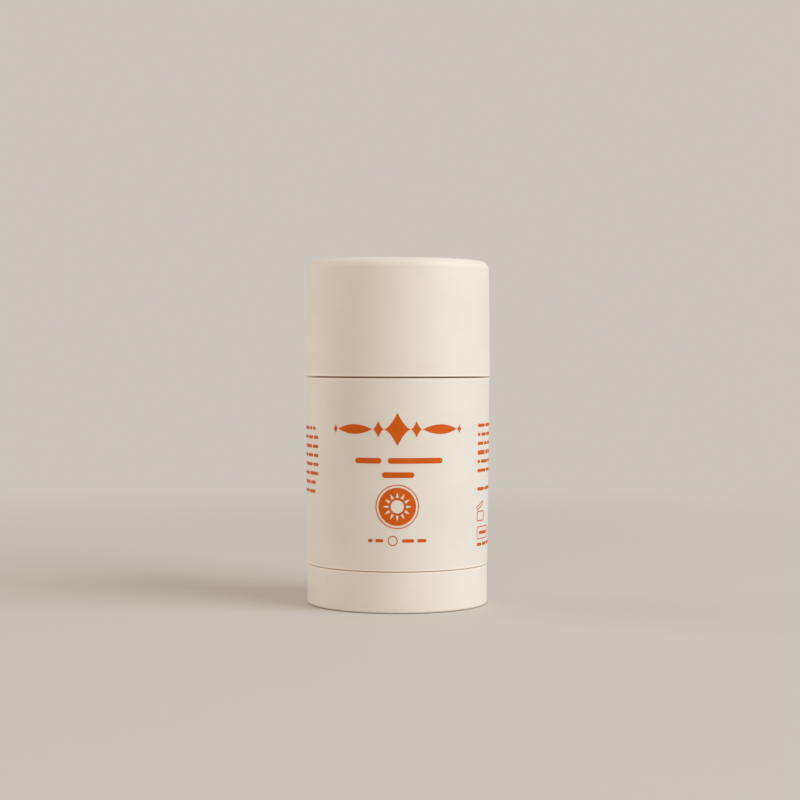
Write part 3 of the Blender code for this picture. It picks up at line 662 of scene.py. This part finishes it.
def print_ornament(material):
    """A printer's ornament: a hollow-sided lozenge between small ones and swelled rules."""
    def hollow(share):
        return (1 - share) ** HOLLOWNESS

    def swelled(share):
        return 1 - share ** 2

    grids = [leaf(0, ORNAMENT_HEIGHT, *LOZENGE_HALVES, hollow)]
    for side in (-1, 1):
        grids.append(leaf(side * SIDE_LOZENGE_OFFSET, ORNAMENT_HEIGHT, *SIDE_LOZENGE_HALVES, hollow))
        grids.append(leaf(side * RULE_OFFSET, ORNAMENT_HEIGHT, *RULE_HALVES, swelled))
        grids.append(leaf(side * END_LOZENGE_OFFSET, ORNAMENT_HEIGHT, *END_LOZENGE_HALVES, hollow))
    inked("ink_ornament", grids, material)


def print_names(material):
    """Plain bars in two lines."""
    grids = [bar(left, right, NAME_HEIGHT, NAME_THICKNESS) for left, right in NAME_WORDS]
    grids += [bar(left, right, SECOND_NAME_HEIGHT, NAME_THICKNESS) for left, right in SECOND_NAME_WORDS]
    inked("ink_name_bars", grids, material)


def print_roundel(material):
    """A disc with a plain sun left open in it, and a hairline ring round it."""
    band = SUN_RADIUS + SUN_GAP
    ray_half = RAY_SHARE * (math.tau / RAY_COUNT) / 2

    def rays(angle):
        return band + RAY_LENGTH * max(0, 1 - off_nearest(angle, RAY_COUNT) / ray_half)

    grids = [
        ring(0, ROUNDEL_HEIGHT, ROUNDEL_RADIUS, rays),
        ring(0, ROUNDEL_HEIGHT, band, lambda angle: SUN_RADIUS),
    ]
    inked("ink_roundel", grids, material)
    inked("ink_roundel_ring", [thin_ring(0, ROUNDEL_HEIGHT, ROUNDEL_RING)], material)


def print_foot_line(material):
    """Short bars and a thin circle in one line."""
    grids = [bar(left, right, FOOT_LINE_HEIGHT, FOOT_LINE_THICKNESS) for left, right in FOOT_LINE_WORDS]
    grids.append(thin_ring(FOOT_LINE_RING_MIDDLE, FOOT_LINE_HEIGHT, FOOT_LINE_RING_RADIUS))
    inked("ink_foot_line", grids, material)


def print_left_column(material):
    """Lines of short bars that all end at one place."""
    draw = random.Random(LEFT_SEED)
    grids = []
    for i in range(LEFT_LINES):
        width = COLUMN_WIDTH - draw.uniform(0, LONGEST_WORD)
        start = LEFT_COLUMN_END - width
        grids += line_of_words(draw, start, width, LEFT_COLUMN_TOP - i * COLUMN_PITCH, COLUMN_THICKNESS)
    inked("ink_left_column", grids, material)


def print_right_column(material):
    """Lines of short bars, with an open jar in outline and a framed bar among them."""
    draw = random.Random(RIGHT_SEED)
    grids = []
    for i in range(RIGHT_LINES):
        width = COLUMN_WIDTH - draw.uniform(0, LONGEST_WORD)
        thickness = COLUMN_THICKNESS * (BOLD_SHARE if i == RIGHT_BOLD_LINE else 1)
        height = RIGHT_COLUMN_TOP - i * COLUMN_PITCH
        grids += line_of_words(draw, RIGHT_COLUMN_START, width, height, thickness)
    for height in (RIGHT_HEADING_HEIGHT, LAST_LINE_HEIGHT):
        grids += line_of_words(draw, RIGHT_COLUMN_START, SHORT_LINE_WIDTH, height, COLUMN_THICKNESS)
    jar = rounded_box(RIGHT_COLUMN_START, JAR_HEIGHT, JAR_WIDTH, JAR_BODY, PANEL_CORNER)
    lid = rounded_box(0, 0, JAR_WIDTH, LID_THICKNESS, LID_CORNER)
    hinge = Vector((RIGHT_COLUMN_START, JAR_HEIGHT + JAR_BODY + LID_THICKNESS / 2))
    lid = [tuple(hinge + Matrix.Rotation(LID_TILT, 2) @ Vector(point)) for point in lid]
    panel = rounded_box(RIGHT_COLUMN_START, PANEL_HEIGHT - PANEL_SIZE[1] / 2, *PANEL_SIZE, PANEL_CORNER)
    grids += [stroke(path, HAIRLINE) for path in (jar, lid, panel)]
    margin = 2 * PANEL_CORNER
    start, end = RIGHT_COLUMN_START + margin, RIGHT_COLUMN_START + PANEL_SIZE[0] - margin
    grids.append(bar(start, end, PANEL_HEIGHT, COLUMN_THICKNESS))
    inked("ink_right_column", grids, material)


def add_node(owner, kind, links=(), **values):
    """A shader node in a material or world, with settings, inputs and (output, input name) links."""
    made = owner.node_tree.nodes.new(kind)
    for name, value in values.items():
        label = name.replace("_", " ").title()
        if label in made.inputs:
            made.inputs[label].default_value = value
        else:
            setattr(made, name, value)
    for socket, name in links:
        owner.node_tree.links.new(socket, made.inputs[name])
    return made


def noise(material, spot, size, detail=FINE_DETAIL):
    """Soft noise whose blotches are about as large as size."""
    made = add_node(material, "ShaderNodeTexNoise", [(spot, "Vector")], scale=1 / size, detail=detail)
    return made.outputs["Fac"]


def spread(material, factor, low, high):
    """The noise's usual range, stretched from low to high."""
    made = add_node(material, "ShaderNodeMapRange", [(factor, "Value")])
    for name, value in zip(("From Min", "From Max", "To Min", "To Max"), (*NOISE_RANGE, low, high)):
        made.inputs[name].default_value = value
    return made.outputs["Result"]


def tinted(colour, share):
    return (*(min(1, channel * share) for channel in colour), 1)


def colours_of(sockets):
    """A Mix node's colour sockets, without the ones that it hides for numbers and vectors."""
    return [socket for socket in sockets if socket.type == "RGBA"]


def maths(owner, operation, first, second):
    """The result of a Math node, whose inputs are sockets or numbers."""
    made = add_node(owner, "ShaderNodeMath", operation=operation)
    for i, value in enumerate((first, second)):
        if isinstance(value, (int, float)):
            made.inputs[i].default_value = value
        else:
            owner.node_tree.links.new(value, made.inputs[i])
    return made.outputs["Value"]


def paint_seam_shade_and_highlight(material, spot, tone):
    """The tone, tinted along the outer seams with a warm painted shade at each seam's lips and a paler
    painted highlight beside them.
    """
    height = add_node(material, "ShaderNodeSeparateXYZ", [(spot, "Vector")]).outputs["Z"]
    flat = add_node(material, "ShaderNodeVectorMath", [(spot, 0)], operation="MULTIPLY")
    flat.inputs[1].default_value = (1, 1, 0)
    length = add_node(material, "ShaderNodeVectorMath", [(flat.outputs["Vector"], 0)], operation="LENGTH")
    around = length.outputs["Value"]
    distances = []
    for (low, high), radius in ((CAP_SEAM, SLEEVE_TOP_RADIUS), (DIAL_SEAM, SLEEVE_FOOT_RADIUS)):
        offset = maths(material, "SUBTRACT", height, (low + high) / 2)
        along = maths(material, "SUBTRACT", maths(material, "ABSOLUTE", offset, 0), (high - low) / 2)
        inward = maths(material, "MULTIPLY", maths(material, "SUBTRACT", radius, around), SEAM_PAINT_DEPTH_SHARE)
        distances.append(maths(material, "MAXIMUM", along, inward))
    span = SEAM_SHADE_AND_HIGHLIGHT_TINTS[-1][0]
    share = maths(material, "DIVIDE", maths(material, "MINIMUM", *distances), span)
    ramp = add_node(material, "ShaderNodeValToRGB", [(share, "Fac")])
    stops = ramp.color_ramp.elements
    while len(stops) < len(SEAM_SHADE_AND_HIGHLIGHT_TINTS):
        stops.new(0.5)  # between the first stop and the last, and placed below
    for stop, (distance, tint) in zip(stops, SEAM_SHADE_AND_HIGHLIGHT_TINTS):
        stop.position = distance / span
        stop.color = (*tint, 1)
    product = add_node(material, "ShaderNodeMix", data_type="RGBA", blend_type="MULTIPLY")
    product.inputs["Factor"].default_value = 1
    for source, socket in zip((tone, ramp.outputs["Color"]), colours_of(product.inputs)):
        material.node_tree.links.new(source, socket)
    return colours_of(product.outputs)[0]


def finish(
    name, colour, roughness, cloud=CLOUD_SIZE, variation=TONE_VARIATION, grain=GRAIN_SIZE,
    edges=False, **uniform,
):
    """A moulded or cast surface: tone that drifts in soft clouds, uneven sheen, and a fine grain.

    roughness is its lowest and highest value, edges adds a painted shade and highlight along the outer
    seams, and uniform holds what is the same all over.
    """
    material = bpy.data.materials.new(name)
    material.use_nodes = True
    shader = material.node_tree.nodes["Principled BSDF"]
    spot = add_node(material, "ShaderNodeTexCoord").outputs["Object"]
    link = material.node_tree.links.new

    tone = add_node(material, "ShaderNodeMix", data_type="RGBA")
    clouds = noise(material, spot, cloud, CLOUD_DETAIL)
    link(spread(material, clouds, 0, 1), tone.inputs["Factor"])
    darker, paler = colours_of(tone.inputs)
    darker.default_value = tinted(colour, 1 - variation)
    paler.default_value = tinted(colour, 1 + variation)
    mixed = colours_of(tone.outputs)[0]
    # With edges, the tone gets the painted seam shade and painted highlight
    link(paint_seam_shade_and_highlight(material, spot, mixed) if edges else mixed, shader.inputs["Base Color"])

    sheen = noise(material, spot, cloud * SHEEN_SHARE)
    link(spread(material, sheen, *roughness), shader.inputs["Roughness"])
    bump = add_node(material, "ShaderNodeBump", distance=GRAIN_DEPTH)
    link(noise(material, spot, grain), bump.inputs["Height"])
    link(bump.outputs["Normal"], shader.inputs["Normal"])
    for label, value in uniform.items():
        shader.inputs[label.replace("_", " ")].default_value = value
    return material


def make_floor():
    """A wide pale disc, which fades into the backdrop's colour away from the stick."""
    shape = bmesh.new()
    bmesh.ops.create_circle(shape, cap_ends=True, segments=ROUND_STEPS, radius=FLOOR_RADIUS)
    mesh = bpy.data.meshes.new("studio_floor")
    shape.to_mesh(mesh)
    shape.free()
    floor = bpy.data.objects.new("studio_floor", mesh)
    floor.location.z = -FLOOR_DROP
    bpy.context.scene.collection.objects.link(floor)
    material = finish(
        "studio_floor", FLOOR_COLOUR, FLOOR_ROUGHNESS, cloud=0.3, variation=0.01, grain=0.002,
    )
    floor.data.materials.append(material)

    spot = add_node(material, "ShaderNodeTexCoord").outputs["Object"]
    distance = add_node(material, "ShaderNodeVectorMath", [(spot, "Vector")], operation="LENGTH")
    fade = add_node(material, "ShaderNodeMapRange", [(distance.outputs["Value"], "Value")])
    fade.interpolation_type = "SMOOTHSTEP"
    fade.inputs["From Min"].default_value, fade.inputs["From Max"].default_value = FLOOR_FADE
    share = maths(material, "MULTIPLY", fade.outputs["Result"], seen_directly(material))
    backdrop = add_node(material, "ShaderNodeEmission", color=(*BACKDROP, 1))
    show_by(material, share, "Principled BSDF", backdrop, "Material Output")


def make_world():
    """Even ambient light, and the backdrop's colour where the camera or a reflection sees past the floor."""
    world = bpy.data.worlds.new("studio")
    bpy.context.scene.world = world
    world.use_nodes = True
    ambient = world.node_tree.nodes["Background"]
    ambient.inputs["Color"].default_value = (*WARM, 1)
    ambient.inputs["Strength"].default_value = WORLD_STRENGTH
    backdrop = add_node(world, "ShaderNodeBackground", color=(*BACKDROP, 1))
    show_by(world, seen_directly(world), "Background", backdrop, "World Output")


def seen_directly(owner):
    """1 where the camera sees the surface itself, in a reflection or through something clear."""
    path = add_node(owner, "ShaderNodeLightPath")
    share = path.outputs["Is Camera Ray"]
    for name in ("Is Glossy Ray", "Is Transmission Ray"):
        share = maths(owner, "MAXIMUM", share, path.outputs[name])
    return share


def show_by(owner, share, usual, other, output):
    """The output shows the usual shader where share is 0 and the other one where it is 1."""
    mix = add_node(owner, "ShaderNodeMixShader")
    nodes, link = owner.node_tree.nodes, owner.node_tree.links.new
    link(share, mix.inputs["Fac"])
    link(nodes[usual].outputs[0], mix.inputs[1])
    link(other.outputs[0], mix.inputs[2])
    link(mix.outputs["Shader"], nodes[output].inputs["Surface"])


def softbox(name, azimuth, elevation, distance, power, colour):
    """A square lamp that faces the stick, with its power in watts.

    Its azimuth is 0 on the camera's side and 90 to the camera's right.
    """
    data = bpy.data.lights.new(name, "AREA")
    data.size = SOFTBOX_WIDTH
    data.energy = power
    data.color = colour
    lamp = bpy.data.objects.new(name, data)
    bpy.context.scene.collection.objects.link(lamp)
    turn, lift = math.radians(azimuth), math.radians(elevation)
    way = Vector((math.sin(turn) * math.cos(lift), -math.cos(turn) * math.cos(lift), math.sin(lift)))
    lamp.location = STICK_MIDDLE + way * distance
    lamp.rotation_euler = way.to_track_quat("Z", "Y").to_euler()
    lamp.visible_camera = False


def make_camera():
    data = bpy.data.cameras.new("photo_view")
    data.sensor_width = SENSOR_WIDTH
    data.lens = SENSOR_WIDTH * FOCAL_PIXELS / PICTURE_PIXELS
    data.clip_start = NEAREST_SEEN
    camera = bpy.data.objects.new("photo_view", data)
    camera.location = CAMERA_PLACE
    camera.rotation_euler = (math.pi / 2 - CAMERA_PITCH, CAMERA_ROLL, 0)
    bpy.context.scene.collection.objects.link(camera)
    bpy.context.scene.camera = camera


pieces = collection_of("dressed_stick")
bpy.context.scene.view_settings.view_transform = "Standard"
make_camera()
make_world()
make_floor()
softbox("key", azimuth=62, elevation=32, distance=1.4, power=15.9, colour=DAYLIGHT)
softbox("fill", azimuth=-105, elevation=10, distance=1.6, power=9.3, colour=SHADE)
softbox("front_fill", azimuth=0, elevation=12, distance=1.8, power=3.4, colour=WARM)

opaque = {"Subsurface_Weight": 0.15, "Subsurface_Scale": 0.0003, "Subsurface_Radius": (1.0, 0.8, 0.6)}
matte = {**opaque, "Specular_IOR_Level": 0.25}
# Both outer shells carry the painted shade and painted highlight along their seams
cream = finish("cream_plastic", CREAM, SHELL_ROUGHNESS, edges=True, **matte)
sleeve_cream = finish("cream_sleeve_plastic", SLEEVE_CREAM, SHELL_ROUGHNESS, edges=True, **matte)
ivory = finish("ivory_plastic", IVORY, IVORY_ROUGHNESS, **opaque)
milky = finish(
    "milky_plastic", MILKY, MILKY_ROUGHNESS, variation=0.01,
    Subsurface_Weight=0.25, Subsurface_Scale=0.001,
)
pale = finish("pale_plastic", PALE, PALE_ROUGHNESS)
wax = finish("waxy_product", WAX, WAX_ROUGHNESS, Subsurface_Weight=0.4, Subsurface_Scale=0.002)
silicone = finish(
    "clear_silicone", SILICONE, SILICONE_ROUGHNESS, Subsurface_Weight=0.3, Subsurface_Scale=0.001,
)
ink = finish(
    "orange_ink", ORANGE, INK_ROUGHNESS, cloud=0.002, variation=0.05, Specular_IOR_Level=0.15,
)

# Pieces turned anew, each in its solid's place
stand_for(make_cap_shell(), "cap_shell", cream)
stand_for(make_cap_liner(), "cap_liner", ivory)
stand_for(make_cap_gasket(), "cap_gasket", silicone)
stand_for(make_seal_dome(), "seal_dome", milky)
stand_for(make_body_sleeve(), "body_sleeve", sleeve_cream)
stand_for(make_inner_barrel(), "inner_barrel", ivory)
stand_for(make_sunscreen_bullet(), "sunscreen_bullet", wax)
stand_for(make_dial_shell(), "dial_shell", cream)

# Solids that stay inside at every pose and keep their shape
kept_solids = {
    "elevator": ivory,
    "spindle": pale,
    "dial_core": pale,
    "spindle_o_ring": silicone,
    "drag_ring": silicone,
}
for node, material in kept_solids.items():
    frame["nodes"][node].data.materials.clear()
    frame["nodes"][node].data.materials.append(material)

# The print on the sleeve
print_ornament(ink)
print_names(ink)
print_roundel(ink)
print_foot_line(ink)
print_left_column(ink)
print_right_column(ink)
